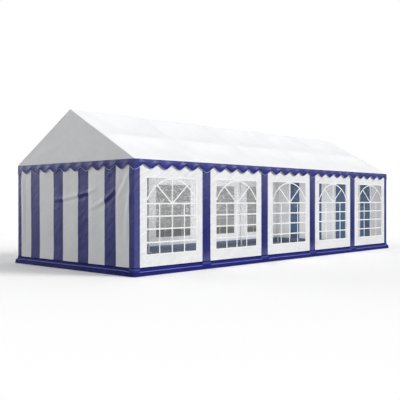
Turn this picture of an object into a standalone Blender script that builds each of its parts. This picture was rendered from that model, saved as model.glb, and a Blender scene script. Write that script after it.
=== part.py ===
"""Party tent, 4 m by 10 m, blue and white coated sheet on a frame of steel tubes.

Metres, +Z up. X runs along the tent and Y across it. The long side with the
windows that shows first is the front and faces -Y. The origin is on the
ground, in the middle of the tent.
"""
import math

import bmesh
import bpy
from mathutils import Matrix, Vector

# Driving dimensions of the whole tent
TENT_LENGTH = 10.0
TENT_WIDTH = 4.0
EAVE_HEIGHT = 2.22
RIDGE_HEIGHT = 3.32
BAYS = 5

# Sheet and tube
SHEET = 0.003
TUBE_RADIUS = 0.025
TUBE_SIDES = 12
GAP = 0.0003

# Windows, stripes and scallops of the sheets
WINDOW_WIDTH = 1.374
WINDOW_BOTTOM = 0.40
WINDOW_TOP = 1.865
POST_BAND_WIDTH = 0.25
CORNER_BAND_WIDTH = 0.14
GABLE_STRIPES = (0.385, 0.345, 0.520, 0.345, 0.520, 0.345, 0.520, 0.345, 0.385)
FILM_MARGIN = 0.05
SCALLOP_NOTCH = 0.10
SCALLOP_DEPTH = 0.20
LONG_SIDE_SCALLOPS = 25
GABLE_SCALLOPS = 11
SCALLOP_STEPS = 6

# Foot of the walls, where the sheet wraps the ground rail
BASE_TOP = 0.155
ROLL_HEIGHT = 0.088
ROLL_REACH = 0.050
ROLL_STEPS = 6
ROLL_SQUARENESS = 2 / 3

# Roof
MID_PURLIN_Y = 1.0
ROOF_SAG = 0.018
BAY_STEPS = 4
SLOPE_STEPS = 3

# Steel frame
CRADLE_RADIUS = 0.030
CRADLE_LENGTH = 0.12
CRADLE_LIP = 0.012
RAFTER_SHOE_LENGTH = 0.14
FOOT_SIZE = 0.115
FOOT_THICKNESS = 0.005
TIE_HEIGHT = 2.14
CUTTER_HEIGHT = 0.10
ROUND_ANGLE = math.radians(35)

# Places worked out from the dimensions above
HALF_LENGTH = TENT_LENGTH / 2
HALF_WIDTH = TENT_WIDTH / 2
BAY = TENT_LENGTH / BAYS
COVER_X = HALF_LENGTH + GAP + SHEET
COVER_Y = HALF_WIDTH + GAP + SHEET
SLOPE = (RIDGE_HEIGHT - EAVE_HEIGHT) / COVER_Y
STRETCH = math.sqrt(1 + SLOPE ** 2)
TUBE_DEPTH = SHEET + GAP + TUBE_RADIUS
TUBE_DROP = TUBE_DEPTH * STRETCH
TOUCH_SHIFT = TUBE_DEPTH * SLOPE / STRETCH
VALANCE_TOP = EAVE_HEIGHT - SHEET * STRETCH - GAP
WALL_TOP = VALANCE_TOP - GAP
END_FRAME_X = HALF_LENGTH - SHEET - GAP - CRADLE_RADIUS
EAVE_TUBE_Y = HALF_WIDTH - SHEET - GAP - CRADLE_RADIUS
FRAME_X = (
    [-END_FRAME_X]
    + [-HALF_LENGTH + BAY * step for step in range(1, BAYS)]
    + [END_FRAME_X]
)
INWARD = (0, SHEET, 0)
SIDE_TURNS = {"front": 0, "right": math.pi / 2, "back": math.pi, "left": -math.pi / 2}


def roof_z(y):
    """Height of the outside of the roof at a distance y from the ridge."""
    return RIDGE_HEIGHT - SLOPE * abs(y)


def tube_z(y):
    """Height of the axis of a roof tube that lies against the cover."""
    return roof_z(y) - TUBE_DROP


# Scene helpers
def clear_scene():
    for thing in list(bpy.data.objects):
        bpy.data.objects.remove(thing, do_unlink=True)


def finish_material(name, colour, roughness, metallic=0.0, alpha=1.0):
    material = bpy.data.materials.new(name)
    material.use_nodes = True
    shader = material.node_tree.nodes["Principled BSDF"]
    shader.inputs["Base Color"].default_value = (*colour, 1.0)
    shader.inputs["Roughness"].default_value = roughness
    shader.inputs["Metallic"].default_value = metallic
    shader.inputs["Alpha"].default_value = alpha
    material.diffuse_color = (*colour, alpha)
    return material


def new_mesh(name, bm):
    bmesh.ops.recalc_face_normals(bm, faces=bm.faces)
    mesh = bpy.data.meshes.new(name)
    bm.to_mesh(mesh)
    bm.free()
    return mesh


def push_out(bm, faces, way):
    """Turn faces into a solid by drawing them out along a straight way."""
    extruded = bmesh.ops.extrude_face_region(bm, geom=faces)
    moved = [part for part in extruded["geom"] if isinstance(part, bmesh.types.BMVert)]
    bmesh.ops.translate(bm, verts=moved, vec=way)


def place(name, mesh, *materials, at=(0, 0, 0), turn=0.0):
    """Put a mesh in the scene under the name of its piece."""
    piece = bpy.data.objects.new(name, mesh)
    if not mesh.materials:
        for material in materials:
            mesh.materials.append(material)
    piece.location = at
    piece.rotation_euler.z = turn
    bpy.context.scene.collection.objects.link(piece)
    return piece


def combine(body, tools):
    """Join or cut a body with each tool in turn, and take the tools away."""
    for tool, operation in tools:
        tool.hide_render = True
        tool.display_type = "WIRE"
        boolean = body.modifiers.new(operation.title(), "BOOLEAN")
        boolean.operation = operation
        boolean.solver = "EXACT"
        boolean.object = tool
    depsgraph = bpy.context.evaluated_depsgraph_get()
    mesh = bpy.data.meshes.new_from_object(body.evaluated_get(depsgraph))
    body.modifiers.clear()
    body.data = mesh
    for tool, _ in tools:
        bpy.data.objects.remove(tool, do_unlink=True)
    return mesh


def shade_round(mesh):
    mesh.shade_smooth()
    mesh.set_sharp_from_angle(angle=ROUND_ANGLE)


# Steel tubes
def tube_along(axis, length, radius=TUBE_RADIUS):
    """A round bar centred on the origin, along X, Y or Z."""
    bm = bmesh.new()
    bmesh.ops.create_cone(
        bm,
        cap_ends=True,
        segments=TUBE_SIDES,
        radius1=radius,
        radius2=radius,
        depth=length,
    )
    if axis == "X":
        bmesh.ops.rotate(bm, verts=bm.verts, matrix=Matrix.Rotation(math.pi / 2, 3, "Y"))
    if axis == "Y":
        bmesh.ops.rotate(bm, verts=bm.verts, matrix=Matrix.Rotation(math.pi / 2, 3, "X"))
    return bm


def follow_slope(bm):
    """Bend level geometry down both slopes, with the ridge at y = 0.

    Heights are stretched first, so that a round bar along Y is round again
    when it is measured square to the slope.
    """
    everything = bm.verts[:] + bm.edges[:] + bm.faces[:]
    bmesh.ops.bisect_plane(bm, geom=everything, plane_co=(0, 0, 0), plane_no=(0, 1, 0))
    for vert in bm.verts:
        vert.co.z = vert.co.z * STRETCH - SLOPE * abs(vert.co.y)


def tube_tool(name, axis, length, radius, middle):
    """A straight round bar whose place is in its mesh."""
    bm = tube_along(axis, length, radius)
    bmesh.ops.translate(bm, verts=bm.verts, vec=middle)
    return place(name, new_mesh(name, bm))


def sloping_tube(name, start_y, end_y, radius):
    """A tube that follows the slope of the roof between two values of y."""
    bm = tube_along("Y", end_y - start_y, radius)
    bmesh.ops.translate(bm, verts=bm.verts, vec=(0, (start_y + end_y) / 2, 0))
    follow_slope(bm)
    bmesh.ops.translate(bm, verts=bm.verts, vec=(0, 0, tube_z(0)))
    return place(name, new_mesh(name, bm))


def block_tool(name, low, high, sloping=False):
    """A box between two corners, level or following the slope of the roof."""
    bm = bmesh.new()
    bmesh.ops.create_cube(bm, size=1.0)
    low, high = Vector(low), Vector(high)
    bmesh.ops.scale(bm, verts=bm.verts, vec=high - low)
    bmesh.ops.translate(bm, verts=bm.verts, vec=(low + high) / 2)
    if sloping:
        follow_slope(bm)
        bmesh.ops.translate(bm, verts=bm.verts, vec=(0, 0, tube_z(0)))
    return place(name, new_mesh(name, bm))


def slot_tool(y):
    """The way for a purlin to drop in from above: round below, open on top."""
    radius = TUBE_RADIUS + GAP
    steps = TUBE_SIDES // 2
    outline = [(radius, CUTTER_HEIGHT)]
    for step in range(steps + 1):
        angle = -math.pi * step / steps
        outline.append((radius * math.cos(angle), radius * math.sin(angle)))
    outline.append((-radius, CUTTER_HEIGHT))
    bm = bmesh.new()
    end = bm.faces.new([bm.verts.new((-CRADLE_LENGTH, across, up)) for across, up in outline])
    push_out(bm, [end], (2 * CRADLE_LENGTH, 0, 0))
    return place("purlin slot", new_mesh("purlin slot", bm), at=(0, y, tube_z(y)))


def leg_mesh(left_reach, right_reach, foot_shift):
    """A leg at x = 0 on the back side, with its foot plate and its head.

    The head has two open cradles: one along X for the eave purlin and one
    up the slope for the end of the rafter.
    """
    head_z = tube_z(EAVE_TUBE_Y)
    shoe_end = EAVE_TUBE_Y - RAFTER_SHOE_LENGTH
    slot = TUBE_RADIUS + GAP
    leg = tube_tool("leg", "Z", head_z, TUBE_RADIUS, (0, EAVE_TUBE_Y, head_z / 2))
    foot_outer = HALF_WIDTH - SHEET - GAP
    foot = block_tool(
        "foot",
        (foot_shift - FOOT_SIZE / 2, foot_outer - FOOT_SIZE, 0),
        (foot_shift + FOOT_SIZE / 2, foot_outer, FOOT_THICKNESS),
    )
    cradle = tube_tool(
        "purlin cradle",
        "X",
        left_reach + right_reach,
        CRADLE_RADIUS,
        ((right_reach - left_reach) / 2, EAVE_TUBE_Y, head_z),
    )
    shoe = sloping_tube("rafter cradle", shoe_end, EAVE_TUBE_Y, CRADLE_RADIUS)
    above = block_tool(
        "space above the cradles",
        (-CRADLE_LENGTH, shoe_end - CUTTER_HEIGHT, -CRADLE_LIP),
        (CRADLE_LENGTH, HALF_WIDTH, CUTTER_HEIGHT),
        sloping=True,
    )
    rafter_slot = sloping_tube("rafter slot", shoe_end - CUTTER_HEIGHT, EAVE_TUBE_Y, slot)
    mesh = combine(
        leg,
        [
            (foot, "UNION"),
            (cradle, "UNION"),
            (shoe, "UNION"),
            (above, "DIFFERENCE"),
            (slot_tool(EAVE_TUBE_Y), "DIFFERENCE"),
            (rafter_slot, "DIFFERENCE"),
        ],
    )
    bpy.data.objects.remove(leg, do_unlink=True)
    shade_round(mesh)
    return mesh


def make_legs(steel):
    half_cradle = CRADLE_LENGTH / 2
    foot_inset = HALF_LENGTH - SHEET - GAP - FOOT_SIZE / 2 - END_FRAME_X
    middle = leg_mesh(half_cradle, half_cradle, 0)
    at_right_end = leg_mesh(half_cradle, CRADLE_RADIUS, foot_inset)
    at_left_end = leg_mesh(CRADLE_RADIUS, half_cradle, -foot_inset)
    for number, x in enumerate(FRAME_X, start=1):
        back_mesh, front_mesh = middle, middle
        if number == 1:
            back_mesh, front_mesh = at_left_end, at_right_end
        if number == len(FRAME_X):
            back_mesh, front_mesh = at_right_end, at_left_end
        place(f"back_leg_{number}", back_mesh, steel, at=(x, 0, 0))
        place(f"front_leg_{number}", front_mesh, steel, at=(x, 0, 0), turn=math.pi)


def rafter_pair_mesh(left_reach, right_reach):
    """Two rafters that meet at the ridge, with cradles for three purlins."""
    rafter_end = EAVE_TUBE_Y - TUBE_RADIUS - GAP
    rafters = sloping_tube("rafters", -rafter_end, rafter_end, TUBE_RADIUS)
    cradle_middle = (right_reach - left_reach) / 2
    joins, slots = [], []
    for y in (-MID_PURLIN_Y, 0, MID_PURLIN_Y):
        cradle = tube_tool(
            "cradle", "X", left_reach + right_reach, CRADLE_RADIUS, (cradle_middle, y, tube_z(y))
        )
        clearing = block_tool(
            "space above the cradle",
            (-CRADLE_LENGTH, y - CUTTER_HEIGHT / 2, -CRADLE_LIP),
            (CRADLE_LENGTH, y + CUTTER_HEIGHT / 2, CUTTER_HEIGHT),
            sloping=True,
        )
        combine(cradle, [(clearing, "DIFFERENCE")])
        joins.append((cradle, "UNION"))
        slots.append((slot_tool(y), "DIFFERENCE"))
    mesh = combine(rafters, joins + slots)
    bpy.data.objects.remove(rafters, do_unlink=True)
    shade_round(mesh)
    return mesh


def make_rafters(steel):
    half_cradle = CRADLE_LENGTH / 2
    middle = rafter_pair_mesh(half_cradle, half_cradle)
    at_right_end = rafter_pair_mesh(half_cradle, CRADLE_RADIUS)
    for number, x in enumerate(FRAME_X, start=1):
        mesh = at_right_end if number in (1, len(FRAME_X)) else middle
        turn = math.pi if number == 1 else 0
        place(f"rafter_pair_{number}", mesh, steel, at=(x, 0, 0), turn=turn)


def make_purlins(steel):
    length = 2 * (HALF_LENGTH - SHEET - GAP)
    mesh = new_mesh("purlin", tube_along("X", length))
    shade_round(mesh)
    purlins = {
        "ridge_purlin": 0,
        "front_mid_purlin": -MID_PURLIN_Y,
        "back_mid_purlin": MID_PURLIN_Y,
        "front_eave_purlin": -EAVE_TUBE_Y,
        "back_eave_purlin": EAVE_TUBE_Y,
    }
    for name, y in purlins.items():
        place(name, mesh, steel, at=(0, y, tube_z(y)))


def make_gable_ties(steel):
    """Level bars between the corner legs, just under the eaves."""
    reach = EAVE_TUBE_Y - TUBE_RADIUS - GAP
    mesh = new_mesh("gable tie", tube_along("Y", 2 * reach))
    shade_round(mesh)
    for name, x in {"left_gable_tie": -END_FRAME_X, "right_gable_tie": END_FRAME_X}.items():
        place(name, mesh, steel, at=(x, 0, TIE_HEIGHT))


# Sheets. Each one is made as it hangs on the front side and then turned.
def flat_sheet(half_width, bottom, top, out):
    """An upright rectangle that faces -Y, at the distance out from the middle."""
    bm = bmesh.new()
    corners = [(-half_width, bottom), (half_width, bottom), (half_width, top), (-half_width, top)]
    bm.faces.new([bm.verts.new((x, -out, z)) for x, z in corners])
    return bm


def cut_lines(bm, axis, places):
    """Cut the faces of a sheet along straight lines across one axis."""
    normal = Vector(axis)
    for distance in places:
        everything = bm.verts[:] + bm.edges[:] + bm.faces[:]
        bmesh.ops.bisect_plane(bm, geom=everything, plane_co=normal * distance, plane_no=normal)


def paint_stripes(bm, stripes):
    """Give the second material to faces that lie between pairs of x values."""
    for face in bm.faces:
        x = face.calc_center_median().x
        if any(low < x < high for low, high in stripes):
            face.material_index = 1


def make_long_walls(white, blue):
    """Side walls with five windows each and a blue band over every leg."""
    centres = [-HALF_LENGTH + BAY * (bay + 0.5) for bay in range(BAYS)]
    bands = [(-HALF_LENGTH, -HALF_LENGTH + CORNER_BAND_WIDTH)]
    for post in range(1, BAYS):
        x = -HALF_LENGTH + BAY * post
        bands.append((x - POST_BAND_WIDTH / 2, x + POST_BAND_WIDTH / 2))
    bands.append((HALF_LENGTH - CORNER_BAND_WIDTH, HALF_LENGTH))
    half_window = WINDOW_WIDTH / 2
    edges = [centre + side * half_window for centre in centres for side in (-1, 1)]
    edges += [x for band in bands[1:-1] for x in band] + [bands[0][1], bands[-1][0]]
    bm = flat_sheet(HALF_LENGTH, BASE_TOP + GAP, WALL_TOP, HALF_WIDTH)
    cut_lines(bm, (1, 0, 0), edges)
    cut_lines(bm, (0, 0, 1), (WINDOW_BOTTOM, WINDOW_TOP))
    openings = []
    for face in bm.faces:
        middle = face.calc_center_median()
        beside = any(abs(middle.x - centre) < half_window for centre in centres)
        if beside and WINDOW_BOTTOM < middle.z < WINDOW_TOP:
            openings.append(face)
    bmesh.ops.delete(bm, geom=openings, context="FACES")
    push_out(bm, bm.faces[:], INWARD)
    paint_stripes(bm, bands)
    mesh = new_mesh("long wall", bm)
    place("front_wall", mesh, white, blue)
    place("back_wall", mesh, white, blue, turn=math.pi)


def make_window_films(film):
    """One strip of clear film behind the five windows of each long wall."""
    half_width = HALF_LENGTH - (BAY - WINDOW_WIDTH) / 2 + FILM_MARGIN
    bm = flat_sheet(
        half_width, WINDOW_BOTTOM - FILM_MARGIN, WINDOW_TOP + FILM_MARGIN, HALF_WIDTH - SHEET - GAP
    )
    push_out(bm, bm.faces[:], INWARD)
    mesh = new_mesh("window film", bm)
    place("front_window_film", mesh, film)
    place("back_window_film", mesh, film, turn=math.pi)


def make_gable_walls(white, blue):
    """Striped end walls that fit between the long walls."""
    half_width = HALF_WIDTH - SHEET - GAP
    edges = [-HALF_WIDTH + CORNER_BAND_WIDTH]
    for width in GABLE_STRIPES:
        edges.append(edges[-1] + width)
    blue_stripes = [(-HALF_WIDTH, edges[0]), (edges[-1], HALF_WIDTH)]
    blue_stripes += [(edges[step], edges[step + 1]) for step in range(1, len(edges) - 1, 2)]
    bm = flat_sheet(half_width, BASE_TOP + GAP, WALL_TOP, HALF_LENGTH)
    cut_lines(bm, (1, 0, 0), edges)
    push_out(bm, bm.faces[:], INWARD)
    paint_stripes(bm, blue_stripes)
    mesh = new_mesh("gable wall", bm)
    for side in ("left", "right"):
        place(f"{side}_gable_wall", mesh, white, blue, turn=SIDE_TURNS[side])


def make_gable_triangles(white):
    """The upper part of each end, from the eaves to the ridge."""
    bottom = VALANCE_TOP + GAP
    apex = RIDGE_HEIGHT - (SHEET + GAP) * STRETCH
    half_width = (apex - bottom) / SLOPE
    bm = bmesh.new()
    corners = [(-half_width, bottom), (half_width, bottom), (0, apex)]
    bm.faces.new([bm.verts.new((y, -HALF_LENGTH, z)) for y, z in corners])
    push_out(bm, bm.faces[:], INWARD)
    mesh = new_mesh("gable triangle", bm)
    for side in ("left", "right"):
        place(f"{side}_gable_triangle", mesh, white, turn=SIDE_TURNS[side])


def scallop_drop(along, pitch):
    """How far the edge hangs: rounded lobes at each pitch, sharp notches between."""
    swing = abs(math.cos(math.pi * along / pitch))
    return SCALLOP_NOTCH + (SCALLOP_DEPTH - SCALLOP_NOTCH) * swing


def valance_mesh(length, scallops, half_reach, wall_out):
    """A scalloped strip whose lobes are centred on both corners of its side."""
    bm = bmesh.new()
    bmesh.ops.create_grid(bm, x_segments=scallops * SCALLOP_STEPS, y_segments=1, size=0.5)
    pitch = length / scallops
    for vert in bm.verts:
        along = (vert.co.x + 0.5) * length
        hang = scallop_drop(along, pitch) if vert.co.y < 0 else 0
        x = along - length / 2
        if abs(x) > length / 2 - pitch / (2 * SCALLOP_STEPS):
            x = math.copysign(half_reach, x)
        vert.co = (x, -(wall_out + GAP + SHEET), VALANCE_TOP - hang)
    push_out(bm, bm.faces[:], INWARD)
    return new_mesh("valance", bm)


def make_valances(blue):
    long_side = valance_mesh(TENT_LENGTH, LONG_SIDE_SCALLOPS, COVER_X, HALF_WIDTH)
    gable = valance_mesh(TENT_WIDTH, GABLE_SCALLOPS, HALF_WIDTH, HALF_LENGTH)
    for side, turn in SIDE_TURNS.items():
        mesh = long_side if side in ("front", "back") else gable
        place(f"{side}_valance", mesh, blue, turn=turn)


def base_roll_mesh(half_width, wall_out):
    """The blue foot of a wall: a short strip that turns into the roll over the rail.

    Its ends are mitred, so that the rolls of two sides meet at the corner.
    """
    outline = [(-SHEET, 0), (-SHEET, BASE_TOP), (0, BASE_TOP)]
    for step in range(ROLL_STEPS + 1):
        angle = math.pi / 2 * step / ROLL_STEPS
        out = ROLL_REACH * math.sin(angle) ** ROLL_SQUARENESS
        up = ROLL_HEIGHT * max(0.0, math.cos(angle)) ** ROLL_SQUARENESS
        outline.append((out, up if step < ROLL_STEPS else 0))
    bm = bmesh.new()
    end = bm.faces.new([bm.verts.new((-half_width, -wall_out - out, up)) for out, up in outline])
    push_out(bm, [end], (2 * half_width, 0, 0))
    for vert in bm.verts:
        out = -vert.co.y - wall_out
        vert.co.x += math.copysign(1, vert.co.x) * (out - GAP)
    return new_mesh("base roll", bm)


def make_base_rolls(blue):
    long_side = base_roll_mesh(HALF_LENGTH, HALF_WIDTH)
    gable = base_roll_mesh(HALF_WIDTH, HALF_LENGTH)
    for side, turn in SIDE_TURNS.items():
        mesh = long_side if side in ("front", "back") else gable
        place(f"{side}_base_roll", mesh, blue, turn=turn)


def spread(stops, steps):
    """Split each stretch between two stops into equal steps."""
    places = [stops[0]]
    for start, end in zip(stops, stops[1:]):
        places += [start + (end - start) * step / steps for step in range(1, steps + 1)]
    return places


def sag_share(value, stops):
    """0 where the sheet lies on tubes, at the stops, and 1 midway between."""
    for start, end in zip(stops, stops[1:]):
        if start <= value <= end:
            return math.sin(math.pi * (value - start) / (end - start))
    return 0.0


def make_roof_cover(white):
    """One sheet over the ridge, which sags a little between the tubes.

    On a slope the sheet touches a purlin a little way down from its axis.
    """
    touching = [purlin_y + TOUCH_SHIFT for purlin_y in (0, MID_PURLIN_Y, EAVE_TUBE_Y)]
    half_rows = spread(touching, SLOPE_STEPS) + [COVER_Y]
    rows = [-y for y in reversed(half_rows)] + [0] + half_rows
    columns = [-COVER_X] + spread(FRAME_X, BAY_STEPS) + [COVER_X]
    bm = bmesh.new()
    bmesh.ops.create_grid(bm, x_segments=len(columns) - 1, y_segments=len(rows) - 1, size=0.5)
    for vert in bm.verts:
        x = columns[round((vert.co.x + 0.5) * (len(columns) - 1))]
        y = rows[round((vert.co.y + 0.5) * (len(rows) - 1))]
        sag = ROOF_SAG * sag_share(x, FRAME_X) * sag_share(abs(y), touching)
        vert.co = (x, y, roof_z(y) - sag)
    push_out(bm, bm.faces[:], (0, 0, -SHEET * STRETCH))
    place("roof_cover", new_mesh("roof cover", bm), white)


def main():
    clear_scene()
    white = finish_material("White coated sheet", (0.86, 0.87, 0.88), 0.42)
    blue = finish_material("Blue coated sheet", (0.030, 0.028, 0.200), 0.40)
    film = finish_material("Clear window film", (0.80, 0.83, 0.85), 0.10, alpha=0.35)
    steel = finish_material("Galvanised steel tube", (0.56, 0.57, 0.58), 0.38, metallic=0.9)
    make_legs(steel)
    make_rafters(steel)
    make_purlins(steel)
    make_gable_ties(steel)
    make_roof_cover(white)
    make_gable_triangles(white)
    make_valances(blue)
    make_long_walls(white, blue)
    make_window_films(film)
    make_gable_walls(white, blue)
    make_base_rolls(blue)


main()
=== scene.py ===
# %% [markdown]
# # A party tent, 4 m by 10 m
#
# A party tent is a light frame of steel tubes with coated sheet over it: a
# white roof, long walls with a clear window in every bay, striped end walls
# and a blue foot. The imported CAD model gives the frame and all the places.
# This lesson makes what the sheets look like. Each sheet starts as a flat
# grid of small faces, and is then pushed into the sags, folds and ripples
# that coated cloth has when it hangs.

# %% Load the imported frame
import math

import bmesh
import bpy
from mathutils import Matrix, Vector, noise


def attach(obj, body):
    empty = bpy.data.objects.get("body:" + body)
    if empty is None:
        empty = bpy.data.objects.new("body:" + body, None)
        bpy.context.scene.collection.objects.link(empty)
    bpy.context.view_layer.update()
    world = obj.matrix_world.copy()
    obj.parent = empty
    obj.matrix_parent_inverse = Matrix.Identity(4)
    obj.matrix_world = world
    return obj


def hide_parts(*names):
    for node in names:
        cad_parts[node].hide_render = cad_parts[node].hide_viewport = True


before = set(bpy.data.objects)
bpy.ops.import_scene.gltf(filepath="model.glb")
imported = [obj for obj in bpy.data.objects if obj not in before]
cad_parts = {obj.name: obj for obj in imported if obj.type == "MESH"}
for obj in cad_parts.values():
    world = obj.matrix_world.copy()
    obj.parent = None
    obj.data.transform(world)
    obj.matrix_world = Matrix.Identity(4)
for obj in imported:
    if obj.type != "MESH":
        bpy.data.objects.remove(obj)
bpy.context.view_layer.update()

print("nodes in the frame:", len(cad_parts))

# %% [markdown]
# ## Sizes
#
# These are the sizes of the CAD source, in metres, so that every sheet lands
# on what carries it. X runs along the tent, Y across it and Z up. The front
# is the long side that faces -Y.

# %% Sizes of the tent
HALF_LENGTH = 5.0
HALF_WIDTH = 2.0
BAY = 2.0
BAYS = 5
EAVE = 2.22
RIDGE = 3.32
COVER_X = 5.0033
COVER_Y = 2.0033
SLOPE = (RIDGE - EAVE) / COVER_Y
STRETCH = math.sqrt(1 + SLOPE ** 2)
POSTS = [-HALF_LENGTH + BAY * step for step in range(BAYS + 1)]
FRAME_X = [-4.9667, -3, -1, 1, 3, 4.9667]
MID_PURLIN_Y = 1.0
TOUCH_SHIFT = 0.0136
EAVE_TUBE_Y = 1.9667
WALL_TOP = 2.2160
WALL_FOOT = 0.155
WALL_EDGE = 0.160
SHEET = 0.0012
COVER_GAP = 0.0034
MERGE = 1e-5
SIDES = ("front", "right", "back", "left")
TURNS = {"front": 0, "right": math.pi / 2, "back": math.pi, "left": -math.pi / 2}

print("roof slope in degrees:", round(math.degrees(math.atan(SLOPE)), 1))

# %% [markdown]
# ## The camera
#
# The camera stands where the picture was taken from: level, at standing
# height, in front of the near left corner. It was found from the corners of
# the tent and its equal bays. Its picture is square.

# %% Camera at the picture's view
LENS = 58.33
CAMERA_PLACE = (-13.025, -11.133, 1.437)
CAMERA_TURN = math.radians(-47.09)

camera_data = bpy.data.cameras.new("camera")
camera_data.lens = LENS
camera_data.sensor_width = 36
camera = bpy.data.objects.new("camera", camera_data)
camera.location = CAMERA_PLACE
camera.rotation_euler = (math.radians(90), 0, CAMERA_TURN)
bpy.context.scene.collection.objects.link(camera)
bpy.context.scene.camera = camera
print("camera at", tuple(round(value, 2) for value in camera.location))

# %% [markdown]
# ## Light and floor
#
# A white sheet needs light that wraps round it and still shows its folds. A
# pale sky lights everything, and the floor throws back little, so that folds
# get a dark lower side. It glows more at the back left, which the near end
# wall reflects. A wide soft sun comes from the front right. One broad lamp
# under the roof stands for the daylight that the white cover lets through,
# and a second one on the floor for what the walls let in. The floor is pale
# and runs out to white, so that no horizon shows. What is seen through two
# windows is a plain grey, as it is outdoors, where nothing behind a tent is
# as bright as its sheets, and the floor seen through a window is darker
# still, since it lies in the tent's shade.

# %% Helpers for node trees
def add_node(tree, kind, inputs=None, **settings):
    """Add a node. A value for an input is a number, a colour or another node's output."""
    made = tree.nodes.new(kind)
    for name, value in settings.items():
        setattr(made, name, value)
    for name, value in (inputs or {}).items():
        if isinstance(value, bpy.types.NodeSocket):
            tree.links.new(value, made.inputs[name])
        else:
            made.inputs[name].default_value = value
    return made


def remap(tree, value, start, end, low=0.0, high=1.0, smooth=False):
    """A number that runs from low to high while a value runs from start to end."""
    inputs = {"Value": value, "From Min": start, "From Max": end, "To Min": low, "To Max": high}
    kind = "SMOOTHSTEP" if smooth else "LINEAR"
    return add_node(tree, "ShaderNodeMapRange", inputs, interpolation_type=kind).outputs[0]


def combine(tree, operation, first, second):
    """The result of one sum with two numbers."""
    return add_node(tree, "ShaderNodeMath", {0: first, 1: second}, operation=operation).outputs[0]


def mix_shaders(tree, factor, first, second):
    """The first shader where the factor is 0 and the second where it is 1."""
    return add_node(tree, "ShaderNodeMixShader", {0: factor, 1: first, 2: second}).outputs[0]


def noise_pattern(tree, place, scale, detail, **more):
    """Smooth noise from 0 to 1 over a surface."""
    inputs = {"Vector": place, "Scale": scale, "Detail": detail, **more}
    return add_node(tree, "ShaderNodeTexNoise", inputs).outputs["Fac"]


def add_bump(tree, height, strength, distance, **more):
    """A surface direction that makes a pattern look raised."""
    inputs = {"Height": height, "Strength": strength, "Distance": distance, **more}
    return add_node(tree, "ShaderNodeBump", inputs).outputs[0]


# The colour sockets of a Mix node share their names with others, so they go by number.
MIX_A = 6
MIX_B = 7
MIX_COLOUR = 2

# %% Sky
HORIZON_LIGHT = 0.445
ZENITH_LIGHT = 0.615
ZENITH_START = 0.8
SIDE_GLOW = 2.5
GLOW_PLACE = (-0.27, 0.955, 0.12)
GLOW_EDGE = 0.84
GLOW_CORE = 0.98
SEEN_THROUGH = 0.255

# Film has two faces, so a look through one window passes two faces and through two windows four.
PAST_ONE_WINDOW = 2.5
WHITE = (1, 1, 1, 1)

world = bpy.data.worlds.new("studio")
world.use_nodes = True
bpy.context.scene.world = world
tree = world.node_tree
tree.nodes.clear()
direction = add_node(tree, "ShaderNodeTexCoord").outputs["Generated"]
height = add_node(tree, "ShaderNodeSeparateXYZ", {0: direction})
strength = remap(tree, height.outputs["Z"], 0.0, ZENITH_START, HORIZON_LIGHT, ZENITH_LIGHT)
towards_glow = add_node(
    tree, "ShaderNodeVectorMath", {0: direction, 1: GLOW_PLACE}, operation="DOT_PRODUCT"
).outputs["Value"]
side_glow = remap(tree, towards_glow, GLOW_EDGE, GLOW_CORE, 0.0, SIDE_GLOW, smooth=True)
total = combine(tree, "ADD", strength, side_glow)
light, clear, behind = (
    add_node(tree, "ShaderNodeBackground", {"Color": WHITE, "Strength": power}).outputs[0]
    for power in (total, 1.0, SEEN_THROUGH)
)
path = add_node(tree, "ShaderNodeLightPath")
through = combine(tree, "GREATER_THAN", path.outputs["Transparent Depth"], PAST_ONE_WINDOW)
seen = mix_shaders(tree, through, clear, behind)
sky = mix_shaders(tree, path.outputs["Is Camera Ray"], light, seen)
add_node(tree, "ShaderNodeOutputWorld", {"Surface": sky})
bpy.context.scene.view_settings.view_transform = "Standard"
print("sky strength:", HORIZON_LIGHT, "to", ZENITH_LIGHT)

# %% Sun and lamps
SUN_STRENGTH = 2.40
SUN_PLACE = (4.5, -7.6, 5.2)
SUN_ANGLE = math.radians(25)
ROOF_LIGHT_WATTS = 80
ROOF_LIGHT_PLACE = (0.3, 0, 2.8)
ROOF_LIGHT_SIZE = (4.6, 1.5)
LOW_LIGHT_WATTS = 43
LOW_LIGHT_PLACE = (2.5, 0.35, 0.05)
LOW_LIGHT_SIZE = (3.8, 2.7)


def add_lamp(name, kind, power, place, aim):
    """Add a lamp that shines from its place towards a point."""
    lamp_data = bpy.data.lights.new(name, kind)
    lamp_data.energy = power
    lamp = bpy.data.objects.new(name, lamp_data)
    lamp.location = place
    direction = Vector(aim) - Vector(place)
    lamp.rotation_euler = direction.to_track_quat("-Z", "Y").to_euler()
    bpy.context.scene.collection.objects.link(lamp)
    return lamp


def add_panel(name, power, place, size, aim_height):
    """Add a rectangular lamp that shines straight up or down and is not seen itself."""
    lamp = add_lamp(name, "AREA", power, place, (place[0], place[1], aim_height))
    lamp.data.shape = "RECTANGLE"
    lamp.data.size, lamp.data.size_y = size
    lamp.visible_camera = False
    lamp.rotation_euler.z = 0
    return lamp


sun = add_lamp("sun", "SUN", SUN_STRENGTH, SUN_PLACE, (0, 0, 0))
sun.data.angle = SUN_ANGLE
roof_light = add_panel("roof_light", ROOF_LIGHT_WATTS, ROOF_LIGHT_PLACE, ROOF_LIGHT_SIZE, 0)
low_light = add_panel("low_light", LOW_LIGHT_WATTS, LOW_LIGHT_PLACE, LOW_LIGHT_SIZE, 2)
print("lamps:", sun.name, roof_light.name, low_light.name)

# %% Floor
FLOOR_RADIUS = 400
FLOOR_DROP = 0.002
FLOOR_BOUNCE = (0.24, 0.24, 0.24, 1)
FLOOR_SEEN = (0.95, 0.95, 0.95, 1)
WHITE_START = 6.0
WHITE_FULL = 13.0
WHITE_BOUNCE = 0.35
PAST_NO_WINDOW = 1.5
TENT_SHADE = 0.45
SHADE_START = 16.5
SHADE_END = 18.5

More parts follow.
